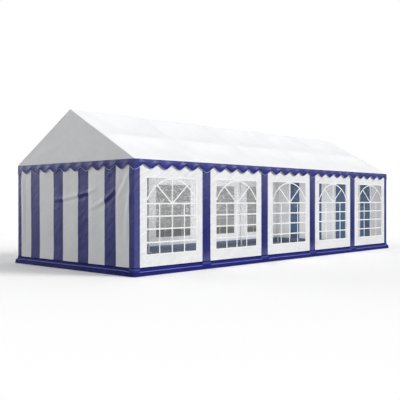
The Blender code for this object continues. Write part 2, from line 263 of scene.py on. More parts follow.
floor_mesh = bmesh.new()
bmesh.ops.create_circle(floor_mesh, cap_ends=True, segments=96, radius=FLOOR_RADIUS)
floor_data = bpy.data.meshes.new("floor")
floor_mesh.to_mesh(floor_data)
floor_mesh.free()
floor = bpy.data.objects.new("floor", floor_data)
floor.location.z = -FLOOR_DROP
bpy.context.scene.collection.objects.link(floor)

pale = bpy.data.materials.new("pale_floor")
pale.use_nodes = True
tree = pale.node_tree
shader = tree.nodes["Principled BSDF"]
shader.inputs["Roughness"].default_value = 0.8
path = add_node(tree, "ShaderNodeLightPath")
camera_ray = path.outputs["Is Camera Ray"]
bounce = add_node(
    tree, "ShaderNodeMix", {0: camera_ray, MIX_A: FLOOR_BOUNCE, MIX_B: FLOOR_SEEN}, data_type="RGBA"
)
tree.links.new(bounce.outputs[MIX_COLOUR], shader.inputs["Base Color"])
place = add_node(tree, "ShaderNodeTexCoord").outputs["Object"]
distance = add_node(tree, "ShaderNodeVectorMath", {0: place}, operation="LENGTH").outputs["Value"]
far = remap(tree, distance, WHITE_START, WHITE_FULL, smooth=True)
glow = remap(tree, camera_ray, 0.0, 1.0, WHITE_BOUNCE, 1.0)
white = add_node(tree, "ShaderNodeEmission", {"Strength": glow}).outputs[0]
open_floor = mix_shaders(tree, far, shader.outputs[0], white)
through = combine(tree, "GREATER_THAN", path.outputs["Transparent Depth"], PAST_NO_WINDOW)
# Painted shade: the floor seen through a window glows dimmer near the tent, where its shade lies.
shade = remap(tree, distance, SHADE_START, SHADE_END, SEEN_THROUGH * TENT_SHADE, SEEN_THROUGH)
behind = add_node(tree, "ShaderNodeEmission", {"Strength": shade}).outputs[0]
mixed = mix_shaders(tree, through, open_floor, behind)
tree.links.new(mixed, tree.nodes["Material Output"].inputs["Surface"])
floor_data.materials.append(pale)
print("floor radius:", FLOOR_RADIUS)

# %% [markdown]
# ## Finishes
#
# Tent sheet is woven polyester thread with a smooth plastic coat on both
# sides. Close up it shows the weave, farther off it shows soft crumples, and
# every panel joins the next with a welded strip. The weave and the crumples
# are bumps that follow the sheet's own UV map, which holds the flat sheet in
# metres. The welds are an attribute on the mesh, since only the cutting plan
# knows where they are; the same attribute also lays painted highlights on the
# blue bands of the long walls and on the foot. Daylight comes through the blue
# sheet, so it looks paler and greener from inside, and it gets a second finish
# with that daylight painted into its colour.

# %% Start of a finish
def new_finish(name, **numbers):
    """A Principled material, with plain numbers on the shader's own sockets."""
    material = bpy.data.materials.new(name)
    material.use_nodes = True
    shader = material.node_tree.nodes["Principled BSDF"]
    for socket, value in numbers.items():
        shader.inputs[socket.replace("_", " ")].default_value = value
    return material, material.node_tree, shader


def shades(tree, factor, dark, light, low=0.3, high=0.7):
    """Colours from dark to light as a factor runs from low to high."""
    ramp = add_node(tree, "ShaderNodeValToRGB", {"Fac": factor})
    ramp.color_ramp.elements[0].position = low
    ramp.color_ramp.elements[0].color = (*dark, 1)
    ramp.color_ramp.elements[1].position = high
    ramp.color_ramp.elements[1].color = (*light, 1)
    return ramp.outputs["Color"]


# %% Coated sheet
PATCH_SCALE = 1.7
THREAD_SCALE = 105
THREAD_HEIGHT = 0.0006
CRUMPLE_SCALE = 8.0
CRUMPLE_SHAPE = (2.6, 0.9, 1.0)
CRUMPLE_SLANT = math.radians(38)
CRUMPLE_HEIGHT = 0.030


def coated_sheet(name, dark, light, weld_and_highlight, gloss, shine=0.5, crumple=0.4, tint=WHITE):
    """Woven sheet with a plastic coat, in shades from dark to light; welds and painted highlights
    take the third colour.
    """
    material, tree, shader = new_finish(
        name, Roughness=gloss, Specular_IOR_Level=shine, Specular_Tint=tint
    )
    flat = add_node(tree, "ShaderNodeUVMap", uv_map="cloth").outputs[0]
    patches = noise_pattern(tree, flat, PATCH_SCALE, 5.0, Roughness=0.62)
    colour = shades(tree, patches, dark, light)
    welds_and_highlights = add_node(tree, "ShaderNodeAttribute", attribute_name="weld_and_highlight").outputs["Fac"]
    mix = add_node(
        tree, "ShaderNodeMix", {0: welds_and_highlights, MIX_A: colour, MIX_B: (*weld_and_highlight, 1)}, data_type="RGBA"
    )
    tree.links.new(mix.outputs[MIX_COLOUR], shader.inputs["Base Color"])
    coat = remap(tree, patches, 0.3, 0.7, gloss - 0.06, gloss + 0.08)
    tree.links.new(coat, shader.inputs["Roughness"])
    slanting = add_node(
        tree,
        "ShaderNodeMapping",
        {"Vector": flat, "Rotation": (0, 0, CRUMPLE_SLANT), "Scale": CRUMPLE_SHAPE},
        vector_type="TEXTURE",
    ).outputs[0]
    crumples = noise_pattern(tree, slanting, CRUMPLE_SCALE, 3.5, Distortion=0.6)
    crumpled = add_bump(tree, crumples, crumple, CRUMPLE_HEIGHT)
    threads = [
        add_node(
            tree,
            "ShaderNodeTexWave",
            {"Vector": flat, "Scale": THREAD_SCALE},
            bands_direction=way,
        ).outputs["Fac"]
        for way in ("X", "Y")
    ]
    weave = combine(tree, "MULTIPLY", *threads)
    woven = add_bump(tree, weave, 0.12, THREAD_HEIGHT, Normal=crumpled)
    tree.links.new(woven, shader.inputs["Normal"])
    return material


BLUE_SHINE = (0.66, 0.68, 1.0, 1.0)

white_sheet = coated_sheet(
    "white_coated_sheet",
    (0.80, 0.81, 0.83),
    (0.87, 0.88, 0.89),
    (0.80, 0.81, 0.83),
    0.46,
    crumple=0.2,
)
roof_finish = coated_sheet(
    "white_roof_sheet",
    (0.81, 0.82, 0.84),
    (0.86, 0.87, 0.88),
    (0.81, 0.82, 0.84),
    0.46,
    crumple=0.15,
)
wall_sheet = coated_sheet(
    "white_wall_sheet",
    (0.80, 0.81, 0.83),
    (0.88, 0.89, 0.90),
    (0.80, 0.81, 0.83),
    0.46,
    crumple=0.9,
)
blue_sheet = coated_sheet(
    "blue_coated_sheet",
    (0.006, 0.010, 0.140),
    (0.024, 0.028, 0.215),
    (0.030, 0.034, 0.210),
    0.40,
    shine=0.48,
    crumple=0.3,
    tint=BLUE_SHINE,
)
# A darker copy of the blue sheet, as painted shade, whose third colour is a painted highlight.
painted_band_sheet = coated_sheet(
    "blue_band_painted_shade_and_highlight",
    (0.003, 0.006, 0.110),
    (0.010, 0.015, 0.165),
    (0.075, 0.080, 0.235),
    0.40,
    shine=0.48,
    crumple=0.6,
    tint=BLUE_SHINE,
)
bar_tape = coated_sheet(
    "white_bar_tape", (0.90, 0.91, 0.92), (0.95, 0.955, 0.96), (0.93, 0.94, 0.95), 0.35
)
bar_back = coated_sheet(
    "grey_bar_back", (0.36, 0.37, 0.38), (0.44, 0.45, 0.46), (0.40, 0.41, 0.42), 0.5
)
# Painted daylight: the inside of the blue sheet is paler and greener, for the daylight that comes
# through it.
blue_inside_painted_daylight = coated_sheet(
    "blue_sheet_inside_painted_daylight", (0.030, 0.090, 0.21), (0.044, 0.118, 0.27), (0.04, 0.11, 0.23), 0.5
)
# Painted daylight, paler still, on the inside of the foot strip and its skirt.
foot_inside_painted_daylight = coated_sheet(
    "blue_foot_inside_painted_daylight", (0.09, 0.145, 0.26), (0.12, 0.180, 0.30), (0.10, 0.16, 0.27), 0.5
)
# Its third colour is the painted highlight on the foot's edge and flaps.
foot_sheet = coated_sheet(
    "blue_foot_sheet",
    (0.008, 0.011, 0.120),
    (0.016, 0.020, 0.172),
    (0.16, 0.18, 0.57),
    0.5,
    shine=0.08,
)
piping_tape = coated_sheet(
    "pale_piping_tape", (0.50, 0.51, 0.66), (0.62, 0.63, 0.76), (0.5, 0.5, 0.6), 0.45
)
print("sheet finishes:", white_sheet.name, blue_sheet.name, foot_sheet.name)

# %% [markdown]
# ### Window film
#
# The windows are soft clear film. It never hangs flat: it ripples in low, wide
# waves. The crests of the waves get painted highlights, where the film turns
# pale and less clear, most of all in the upper half of a pane and in the left
# windows.
# Most of the light goes straight through, which the shader's alpha gives, and
# this also survives an export.

# %% Clear film
RIPPLE_SHAPE = (0.8, 1.0, 3.6)
RIPPLE_SCALE = 12.0
CREST_START = 0.55
CREST_FULL = 0.66
GLINTS_START_Z = 0.8
GLINTS_FULL_Z = 1.2
GLINTS_FULL_LEFT_OF = -3.2
GLINTS_FEW_RIGHT_OF = 0
CLEAREST = 0.014

window_film, tree, shader = new_finish("clear_window_film", Roughness=0.30)
flat = add_node(tree, "ShaderNodeUVMap", uv_map="cloth").outputs[0]
scuffs = noise_pattern(tree, flat, 14.0, 6.0, Roughness=0.7)
film_colour = shades(tree, scuffs, (0.80, 0.81, 0.82), (0.90, 0.91, 0.92))
tree.links.new(film_colour, shader.inputs["Base Color"])
place = add_node(tree, "ShaderNodeTexCoord").outputs["Object"]
stretched = add_node(tree, "ShaderNodeMapping", {"Vector": place, "Scale": RIPPLE_SHAPE})
ripples = noise_pattern(tree, stretched.outputs[0], RIPPLE_SCALE, 2.0, Distortion=1.4)
rippled = add_bump(tree, ripples, 0.15, 0.02)
tree.links.new(rippled, shader.inputs["Normal"])
# Painted highlights: the crests turn pale and less clear, more in the upper half of a pane and in
# the left windows.
crests = remap(tree, ripples, CREST_START, CREST_FULL, smooth=True)
across = add_node(tree, "ShaderNodeSeparateXYZ", {0: place})
glints_up = remap(tree, across.outputs["Z"], GLINTS_START_Z, GLINTS_FULL_Z, 0.04, 0.66)
glints_left = remap(tree, across.outputs["X"], GLINTS_FULL_LEFT_OF, GLINTS_FEW_RIGHT_OF, 1.0, 0.2)
streaks = combine(tree, "MULTIPLY", crests, glints_up)
fewer = combine(tree, "MULTIPLY", streaks, glints_left)
painted_glints = combine(tree, "ADD", fewer, CLEAREST)
tree.links.new(painted_glints, shader.inputs["Alpha"])
print("film finish:", window_film.name)

# %% [markdown]
# ### Galvanised tube
#
# The frame is zinc coated. Zinc freezes in flat crystals, each with its own
# tone, and dulls in streaks, so a cell pattern sets the colour and a noise
# sets the roughness. The tubes are the CAD's own, and only take the finish.

# %% Galvanised steel
steel, tree, shader = new_finish("galvanised_steel", Metallic=0.1, Roughness=0.45)
place = add_node(tree, "ShaderNodeTexCoord").outputs["Object"]
crystals = add_node(tree, "ShaderNodeTexVoronoi", {"Vector": place, "Scale": 70.0})
zinc = shades(tree, crystals.outputs["Color"], (0.70, 0.71, 0.72), (0.80, 0.81, 0.82), 0.1, 0.9)
tree.links.new(zinc, shader.inputs["Base Color"])
streaks = noise_pattern(tree, place, 9.0, 5.0)
dull = remap(tree, streaks, 0.3, 0.7, 0.3, 0.52)
tree.links.new(dull, shader.inputs["Roughness"])
uneven = add_bump(tree, streaks, 0.1, 0.002)
tree.links.new(uneven, shader.inputs["Normal"])

STEEL_WORDS = ("leg", "rafter", "purlin", "tie")
steel_nodes = [
    node for name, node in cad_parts.items() if any(word in name for word in STEEL_WORDS)
]
for node in steel_nodes:
    for slot in node.material_slots:
        slot.material = steel
print("steel nodes:", len(steel_nodes))

# %% [markdown]
# ## Cutting and hanging a sheet
#
# A tentmaker cuts a sheet flat, welds its panels, and only then hangs it.
# The helpers follow that: `cut_cloth` makes the flat grid and stores its
# flat place as a UV map, a sheet's own rule moves the points, and `hang`
# gives the cloth its thickness and turns it to its side of the tent.

# %% Places of the cuts
def spread(stops, spacing):
    """Places about spacing apart that include every stop."""
    places = [stops[0]]
    for start, end in zip(stops, stops[1:]):
        steps = max(1, round((end - start) / spacing))
        places += [start + (end - start) * step / steps for step in range(1, steps + 1)]
    return places


def cut_cloth(columns, rows):
    """A flat sheet that faces -Y, with a point wherever a column meets a row."""
    bm = bmesh.new()
    bmesh.ops.create_grid(bm, x_segments=len(columns) - 1, y_segments=len(rows) - 1, size=0.5)
    for vert in bm.verts:
        column = round((vert.co.x + 0.5) * (len(columns) - 1))
        row = round((vert.co.y + 0.5) * (len(rows) - 1))
        vert.co = (columns[column], 0, rows[row])
    bm.verts.layers.float.new("weld_and_highlight")
    cloth = bm.loops.layers.uv.new("cloth")
    for face in bm.faces:
        for corner in face.loops:
            corner[cloth].uv = (corner.vert.co.x, corner.vert.co.z)
    return bm


# %% Welds
WELD_WIDTH = 0.02
WELD_SLACK = 0.001


def mark_welds(bm, edges):
    """Mark the points that lie on the welded strip beside each upright edge."""
    weld_and_highlight = bm.verts.layers.float["weld_and_highlight"]
    for vert in bm.verts:
        past = [vert.co.x - edge for edge in edges]
        if any(-WELD_SLACK < step < WELD_WIDTH + WELD_SLACK for step in past):
            vert[weld_and_highlight] = 1.0


# %% Hanging a sheet
CREASE_ANGLE = math.radians(35)


def put_in_scene(name, mesh, finishes):
    """Put a mesh in the scene as a piece that stays with the tent."""
    for finish in finishes:
        mesh.materials.append(finish)
    piece = bpy.data.objects.new(name, mesh)
    bpy.context.scene.collection.objects.link(piece)
    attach(piece, "root")
    print(name, "has", len(mesh.polygons), "faces")
    return piece


def hang(name, bm, *finishes, side="front", thickness=SHEET, inside=None):
    """Give the cloth its thickness, inwards, and turn it to its side of the tent."""
    outer_faces = set(bm.faces)
    bm.normal_update()
    bmesh.ops.solidify(bm, geom=bm.faces[:], thickness=thickness)
    rim = {face for outer in outer_faces for edge in outer.edges for face in edge.link_faces}
    for face in bm.faces:
        if inside and face not in outer_faces and face not in rim:
            face.material_index = inside.get(face.material_index, face.material_index)
    turn = Matrix.Rotation(TURNS[side], 3, "Z")
    bmesh.ops.rotate(bm, verts=bm.verts, cent=(0, 0, 0), matrix=turn)
    mesh = bpy.data.meshes.new(name)
    bm.to_mesh(mesh)
    bm.free()
    mesh.shade_smooth()
    mesh.set_sharp_from_angle(angle=CREASE_ANGLE)
    return put_in_scene(name, mesh, finishes)


# %% Rules for folds and slack
def ruffle(along, up, seed, size, tallness=1.0):
    """Smooth noise from -1 to 1, in patches about size metres wide."""
    return noise.noise(Vector((along / size, up / (size * tallness), seed)))


def ease(value, start, end):
    """0 before start and 1 after end, with a smooth climb between them."""
    share = min(1.0, max(0.0, (value - start) / (end - start)))
    return share * share * (3 - 2 * share)


def fold(point, path, height, width):
    """A fold along a path: a ridge with a valley on its lower side, fading at both ends."""
    best = None
    for step, (start, end) in enumerate(zip(path, path[1:])):
        run = (end[0] - start[0], end[1] - start[1])
        length = math.hypot(*run)
        offset = (point[0] - start[0], point[1] - start[1])
        share = (offset[0] * run[0] + offset[1] * run[1]) / length ** 2
        share = min(1.0, max(0.0, share))
        across = (offset[0] - share * run[0], offset[1] - share * run[1])
        distance = math.hypot(*across)
        if best is None or distance < best[0]:
            side = 1 if run[0] * offset[1] - run[1] * offset[0] > 0 else -1
            best = (distance, side, (step + share) / (len(path) - 1))
    distance, side, share = best
    reach = distance / width
    if reach > 3:
        return 0.0
    fade = math.sin(math.pi * share) ** 0.5
    return height * fade * (0.4 + side * reach) * math.exp(-reach * reach)


print("fold at its middle:", round(fold((0.5, 0.01), [(0, 0), (1, 0)], 0.01, 0.03), 4))

# %% [markdown]
# ## The roof
#
# The cover is one sheet from eave to eave. It rests on the rafters and on
# five purlins, and sags between them, so it is cut with columns at
# the rafters and rows at the purlins, then lowered in between. Small
# wrinkles run with the slope. At both eaves a narrow white lip turns down
# over the top of the valance.

# %% Rule of the roof
ROOF_SAG = 0.068
ROOF_WRINKLE = 0.003
ROOF_SWELL = 0.003
ROOF_STEP = 0.045
LIP = 0.005
LIP_REACH = 0.0042
LIP_ROUND = 0.003
TOUCHING = [y + TOUCH_SHIFT for y in (0, MID_PURLIN_Y, EAVE_TUBE_Y)]


def slack(value, stops):
    """0 where the sheet lies on tubes, at the stops, and 1 midway between."""
    for start, end in zip(stops, stops[1:]):
        if start <= value <= end:
            return math.sin(math.pi * (value - start) / (end - start))
    return 0.0


def slack_down(y):
    """Slack down a slope, where the lower part hangs most just below the middle purlin."""
    purlin, eave = TOUCHING[1:]
    lower = max(0.0, (y - purlin) / (eave - purlin))
    return slack(y, TOUCHING) * (1 if lower == 0 else 1.5 - 1.2 * lower)


def roof_point(x, slant):
    """Place of a point of the cover that lies slant metres down from the ridge."""
    half_slant = COVER_Y * STRETCH
    down = abs(slant)
    if down > half_slant:
        past = down - half_slant
        y = COVER_Y + LIP_REACH * math.sin(min(1.0, past / LIP_ROUND) * math.pi / 2)
        return (x, math.copysign(y, slant), EAVE - past)
    y = down / STRETCH
    loose = slack(x, FRAME_X) ** 0.7 * slack_down(y)
    drop = ROOF_SAG * loose
    drop += ROOF_WRINKLE * math.sqrt(loose) * ruffle(x, slant, 3.1, 0.16, 4.0)
    drop += ROOF_SWELL * loose * ruffle(x, slant, 8.7, 0.5, 1.5)
    return (x, math.copysign(y, slant), RIDGE - SLOPE * y - max(drop, -0.001))


# %% Roof cover
half_slant = COVER_Y * STRETCH
slants = [0] + [y * STRETCH for y in TOUCHING] + [half_slant]
down_slope = spread(slants, ROOF_STEP)
down_slope += [half_slant + past for past in (LIP_ROUND / 2, LIP_ROUND, LIP)]
rows = [-slant for slant in reversed(down_slope[1:])] + down_slope
seams = POSTS[1:-1]
stops = [-COVER_X, FRAME_X[0]]
for x in seams:
    stops += [x, x + WELD_WIDTH]
stops += [FRAME_X[-1], COVER_X]
cloth = cut_cloth(spread(stops, ROOF_STEP), rows)
mark_welds(cloth, seams)
for vert in cloth.verts:
    vert.co = roof_point(vert.co.x, vert.co.z)
roof = hang("roof_sheet", cloth, roof_finish)
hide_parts("roof_cover")

# %% [markdown]
# ## The gable triangles
#
# Each end is closed above the eaves by a triangle of the same white sheet,
# pulled tight to the sloping edges. A grid is cut along both slopes with two
# planes, and faint folds run in from the corners.

# %% Gable triangles
TRIANGLE_BOTTOM = 2.2166
TRIANGLE_TOP = RIDGE - COVER_GAP * STRETCH
TRIANGLE_HALF = (TRIANGLE_TOP - TRIANGLE_BOTTOM) / SLOPE
TRIANGLE_STEP = 0.03
TRIANGLE_FOLDS = (
    ([(1.5, 2.28), (0.4, 2.62), (-0.2, 2.95)], 0.004, 0.05),
    ([(-1.5, 2.28), (-0.5, 2.55), (0.1, 2.8)], 0.003, 0.06),
)


def triangle_bulge(x, z):
    """How far the triangle stands off its plane, which is nothing along its edges."""
    inside = (TRIANGLE_TOP - z) / SLOPE - abs(x)
    held = ease(inside, 0.0, 0.5) * ease(z, TRIANGLE_BOTTOM, TRIANGLE_BOTTOM + 0.2)
    bulge = 0.008 * ruffle(x, z, 21.5, 0.5)
    bulge += 0.0035 * ruffle(x + 0.8 * z, z, 5.5, 0.14, 5.0)
    for path, height, width in TRIANGLE_FOLDS:
        bulge += fold((x, z), path, height, width)
    return held * bulge


for side in ("left", "right"):
    columns = spread([-TRIANGLE_HALF, 0, TRIANGLE_HALF], TRIANGLE_STEP)
    rows = spread([TRIANGLE_BOTTOM, TRIANGLE_TOP], TRIANGLE_STEP)
    cloth = cut_cloth(columns, rows)
    for way in (-1, 1):
        bmesh.ops.bisect_plane(
            cloth,
            geom=cloth.verts[:] + cloth.edges[:] + cloth.faces[:],
            dist=MERGE,
            plane_co=(0, 0, TRIANGLE_TOP),
            plane_no=(way * SLOPE, 0, 1),
            clear_outer=True,
        )
    for vert in cloth.verts:
        vert.co.y = -HALF_LENGTH - triangle_bulge(vert.co.x, vert.co.z)
    triangle = hang(f"{side}_gable_peak", cloth, white_sheet, side=side)
    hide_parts(f"{side}_gable_triangle")

# %% [markdown]
# ## Going round the tent
#
# The valance and the foot of the walls run round all four sides, each as one
# long strip. Both are cut straight, and each point is then carried to its
# side and turned with it. A point that stands out from its wall is also
# moved along it near a corner, so that the strip turns the corner in a mitre.

# %% Places round the tent
LONG_SIDE = 2 * HALF_LENGTH
SHORT_SIDE = 2 * HALF_WIDTH
LENGTHS = (LONG_SIDE, SHORT_SIDE, LONG_SIDE, SHORT_SIDE)
CORNERS = [sum(LENGTHS[:count]) for count in range(len(LENGTHS) + 1)]
ROUND_LENGTH = CORNERS[-1]
NEAR = 1e-6


def round_the_tent(distance, out, up):
    """Place of a point, from its distance along the walls, starting at the front left corner."""
    for side in SIDES:
        half, wall_out = HALF_LENGTH, HALF_WIDTH
        if side in ("right", "left"):
            half, wall_out = HALF_WIDTH, HALF_LENGTH
        if distance <= 2 * half + NEAR:
            break
        distance -= 2 * half
    place = Vector(((distance / half - 1) * (half + out), -wall_out - out, up))
    place.rotate(Matrix.Rotation(TURNS[side], 3, "Z"))
    return place


def side_at(distance):
    """The distance along its own side of a point round the tent, and that side's length."""
    for length in LENGTHS:
        if distance <= length + NEAR:
            return distance, length
        distance -= length


def from_leg(along, length):
    """Distance from a place on a side to the nearest leg that the sheets show there."""
    spacing = BAY if length == LONG_SIDE else length
    return min(along % spacing, spacing - along % spacing)


print("half way round:", tuple(round(value, 2) for value in round_the_tent(ROUND_LENGTH / 2, 0, 0)))

# %% [markdown]
# ## The valance
#
# A scalloped strip of blue sheet hangs from the eaves over the tops of the
# walls. One lobe, a little wider and longer than the rest, hangs over every
# leg and corner. The strip bellies out and turns back in at its lower edge,
# which leaves the lobes dark and the part above them light. A pale tape is
# sewn round the scalloped edge.

# %% Rule of the valance
VALANCE_TOP = 2.2163
POST_LOBE_WIDTH = 0.47
POST_LOBE = 0.203
BAY_LOBES = 4
BAY_LOBE = 0.185
GABLE_LOBES = 11
GABLE_LOBE = 0.193
NOTCH = 0.095
GABLE_NOTCH = 0.108
BELLY_TURN = 0.79
FLARE = 0.025
GABLE_FLARE = 0.65
LOBE_CURL = 0.008
VALANCE_STEP = 0.024


def lobe_at(distance):
    """Place across a lobe, 0 at its middle and 0.5 at a notch, with the depths of both."""
    along, length = side_at(distance)
    if length == SHORT_SIDE:
        turns = along * GABLE_LOBES / length
        at_corner = min(turns, GABLE_LOBES - turns) < 0.5
        return abs(turns - round(turns)), POST_LOBE if at_corner else GABLE_LOBE, GABLE_NOTCH
    from_post = from_leg(along, length)
    if from_post < POST_LOBE_WIDTH / 2:
        return from_post / POST_LOBE_WIDTH, POST_LOBE, NOTCH
    turns = (from_post - POST_LOBE_WIDTH / 2) * BAY_LOBES / (BAY - POST_LOBE_WIDTH)
    return abs(turns % 1 - 0.5), BAY_LOBE, NOTCH


def hang_depth(distance):
    """Depth of the strip: rounded lobes with narrower notches between them."""
    across, lobe, notch = lobe_at(distance)
    swing = math.cos(math.pi * across)
    share = 0.45 * math.sqrt(swing * swing + 0.01) + 0.55 * swing * swing
    return notch + (lobe - notch) * share


def valance_point(distance, share):
    """Place of a point that is a share of the way down from the eave to the edge."""
    along, length = side_at(distance)
    free = 0.15 + 0.85 * ease(min(along, length - along), 0.0, 0.35)
    across = lobe_at(distance)[0]
    flare = FLARE + 0.012 * ruffle(distance, 0, 2.2, 0.9)
    flare += 0.010 * ruffle(distance, 0, 7.7, 0.25)
    flare -= LOBE_CURL * math.cos(2 * math.pi * across)
    if length == SHORT_SIDE:
        flare *= GABLE_FLARE
    out = COVER_GAP + free * max(0.0, flare) * math.sin(math.pi * BELLY_TURN * share)
    out += 0.004 * free * share * noise.noise(Vector((distance / 0.09, share * 1.5, 4.1)))
    lift = 0.006 * share * ruffle(distance, 0, 9.1, 0.3)
    up = VALANCE_TOP - hang_depth(distance) * share + lift
    return round_the_tent(distance, max(COVER_GAP, out), up)


# %% Valance strip
columns = spread(CORNERS, VALANCE_STEP)
shares = [0, 0.12, 0.25, 0.38, 0.5, 0.62, 0.74, 0.86, 1]
cloth = cut_cloth(columns, [POST_LOBE * (share - 1) for share in shares])
for vert in cloth.verts:
    vert.co = valance_point(vert.co.x, -vert.co.z / POST_LOBE)
bmesh.ops.remove_doubles(cloth, verts=cloth.verts, dist=MERGE)
valance = hang("valance_strip", cloth, blue_sheet)

# %% Piping on the scalloped edge
PIPING_RADIUS = 0.0042
edge = bpy.data.curves.new("valance_piping", "CURVE")
edge.dimensions = "3D"
edge.bevel_depth = PIPING_RADIUS
edge.bevel_resolution = 1
line = edge.splines.new("POLY")
line.points.add(len(columns) - 2)
for point, distance in zip(line.points, columns[:-1]):
    point.co = (*valance_point(distance, 1), 1)
line.use_cyclic_u = True
piping = bpy.data.objects.new("valance_piping", edge)
edge.materials.append(piping_tape)
bpy.context.scene.collection.objects.link(piping)
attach(piping, "root")
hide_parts("front_valance", "back_valance", "left_valance", "right_valance")
sum(hang_depth(end) * (end - start) for start, end in zip(columns, columns[1:]))

# %% [markdown]
# ## The long walls
#
# Each long wall is one sheet of ten metres, white, with a blue band over
# every leg and a hole for the window in every bay. It is held at the eave
# and at the foot and lies against the legs, so it bulges a little in between
# and shows a soft ridge over each leg. At the corners it has no ridge, since
# its edge meets the end wall there. The panes and their bars use the same
# rule, so they stay on the wall wherever it goes.

# %% Rule of a long wall
WINDOW_HALF = 0.687
WINDOW_BOTTOM = 0.40
WINDOW_TOP = 1.865
BAY_CENTRES = [-HALF_LENGTH + BAY * (bay + 0.5) for bay in range(BAYS)]
POST_BAND_HALF = 0.125
CORNER_BAND = 0.14
WALL_SEEDS = {"front": 4.3, "back": 47.9}
LOW_FOLD = [(0.70, 0.38), (0.86, 0.20)]
TOP_FOLD = [(0.70, 1.86), (0.87, 1.99)]
WALL_STEP = 0.024
WALL_STEP_UP = 0.026


def hump(distance, width):
    """1 at a distance of 0, with a soft fall to nothing on both sides."""
    return math.exp(-((distance / width) ** 2))


def wall_bulge(x, z, seed):
    """How far a long wall stands out from its plane at a point."""
    from_post = min(abs(x - post) for post in POSTS)
    free = ease(from_post, 0.05, 0.45)
    held = ease(z, WALL_FOOT, 0.40) * (1 - ease(z, 1.86, 2.02))
    bulge = 0.009 * ruffle(x, z, seed, 0.9, 1.3) + 0.0035 * ruffle(x, z, seed + 5, 0.22, 1.8)
    ridge = 0.006 * hump(from_post, 0.035)
    ridge -= 0.003 * hump(from_post - 0.085, 0.03)
    wander = 0.19 + 0.02 * ruffle(x, z, seed + 21, 0.8)
    ridge += 0.006 * (from_post - wander) / 0.03 * hump(from_post - wander, 0.03)
    ridge *= ease(HALF_LENGTH - abs(x), 0.0, 0.06)
    centre = min(BAY_CENTRES, key=lambda middle: abs(middle - x))
    local = (x - centre, z)
    for way in (-1, 1):
        low, top = ([(way * out, up) for out, up in path] for path in (LOW_FOLD, TOP_FOLD))
        bulge += fold(local, low, 0.004 * way, 0.035)
        bulge += fold(local, top, 0.003, 0.03)
    return held * free * bulge + ridge * ease(z, WALL_FOOT, 0.25) * (1 - ease(z, 1.95, 2.05))


# %% Long walls
bands = [(-HALF_LENGTH, -HALF_LENGTH + CORNER_BAND)]
bands += [(post - POST_BAND_HALF, post + POST_BAND_HALF) for post in POSTS[1:-1]]
bands.append((HALF_LENGTH - CORNER_BAND, HALF_LENGTH))
band_edges = [bands[0][1], bands[-1][0]] + [edge for band in bands[1:-1] for edge in band]
window_edges = [centre + way * WINDOW_HALF for centre in BAY_CENTRES for way in (-1, 1)]
columns = spread(sorted([*POSTS, *band_edges, *window_edges]), WALL_STEP)
rows = spread([WALL_EDGE, WINDOW_BOTTOM, WINDOW_TOP, WALL_TOP], WALL_STEP_UP)

for side, seed in WALL_SEEDS.items():
    cloth = cut_cloth(columns, rows)
    openings = []
    for face in cloth.faces:
        middle = face.calc_center_median()
        beside = any(abs(middle.x - centre) < WINDOW_HALF for centre in BAY_CENTRES)
        if beside and WINDOW_BOTTOM < middle.z < WINDOW_TOP:
            openings.append(face)
        if any(low < middle.x < high for low, high in bands):
            face.material_index = 1
    bmesh.ops.delete(cloth, geom=openings, context="FACES")
    mark_welds(cloth, band_edges)
    weld_and_highlight = cloth.verts.layers.float["weld_and_highlight"]
    for vert in cloth.verts:
        x, z = vert.co.x, vert.co.z
        # Painted highlights: the corner band at the left end, seen from outside, is lighter than
        # the one at the right end, and the bands over the legs grow lighter towards their top and
        # their foot.
        if abs(x) > HALF_LENGTH - CORNER_BAND:
            vert[weld_and_highlight] = 0.7 if x < 0 else 0.4
        elif any(low < x < high for low, high in bands):
            vert[weld_and_highlight] = 0.8 * max(ease(z, 0.75, 2.4), 1 - ease(z, 0.18, 0.42))
        vert.co.y = -HALF_WIDTH - wall_bulge(x, z, seed)
    finishes = (wall_sheet, painted_band_sheet, white_sheet)
    wall = hang(f"{side}_wall_sheet", cloth, *finishes, side=side, inside={0: 2, 1: 2})
    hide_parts(f"{side}_wall")

# %% [markdown]
# ## The windows
#
# Each window is a pane of film welded behind its hole. White strips are
# welded on its face: an arch, a fan of two slanting bars with an upright
# between them, four cross bars and three uprights. A frame strip covers the
# weld round the hole. Every strip starts as a flat grid or a spun edge, and
# is then laid on the wall with the wall's own rule.

# %% Panes
PANE_MARGIN = 0.03
PANE_DEPTH = 0.0030
PANE_STEP = 0.03
FILM = 0.0006
TAPE = 0.0010
BAR_LIFT = 0.0013
FRAME_LIFT = 0.0014
FRAME_LAP = 0.002
BAR_STEP = 0.04
ARCH_STEPS = 40
BAR_WIDTH = 0.028
CROSS_BARS = (1.367, 1.122, 0.879, 0.624)
UPRIGHTS = (-0.3435, 0.3435)
ARCH_RADIUS = 0.775
ARCH_CENTRE = WINDOW_TOP - ARCH_RADIUS
FAN_END = (0.43, 1.735)


def pane_ripple(x, z, seed):
    """Soft waves of the film, which vanish at its welded edge."""
    centre = min(BAY_CENTRES, key=lambda middle: abs(middle - x))
    inside = min(WINDOW_HALF - abs(x - centre), z - WINDOW_BOTTOM, WINDOW_TOP - z)
    waves = 0.0035 * ruffle(x, z, seed + 11, 0.30, 0.5)
    waves += 0.0012 * ruffle(x, z, seed + 13, 0.09, 0.5)
    return ease(inside, 0.0, 0.12) * waves


def lay_on_wall(bm, centre, seed, lift, rippled=True):
    """Move points from a bay's own plane onto its wall, lifted off its outer plane."""
    for vert in bm.verts:
        x, z = vert.co.x + centre, vert.co.z
        ripple = pane_ripple(x, z, seed) if rippled else 0.0
        vert.co = (x, -HALF_WIDTH - wall_bulge(x, z, seed) - ripple - lift, z)


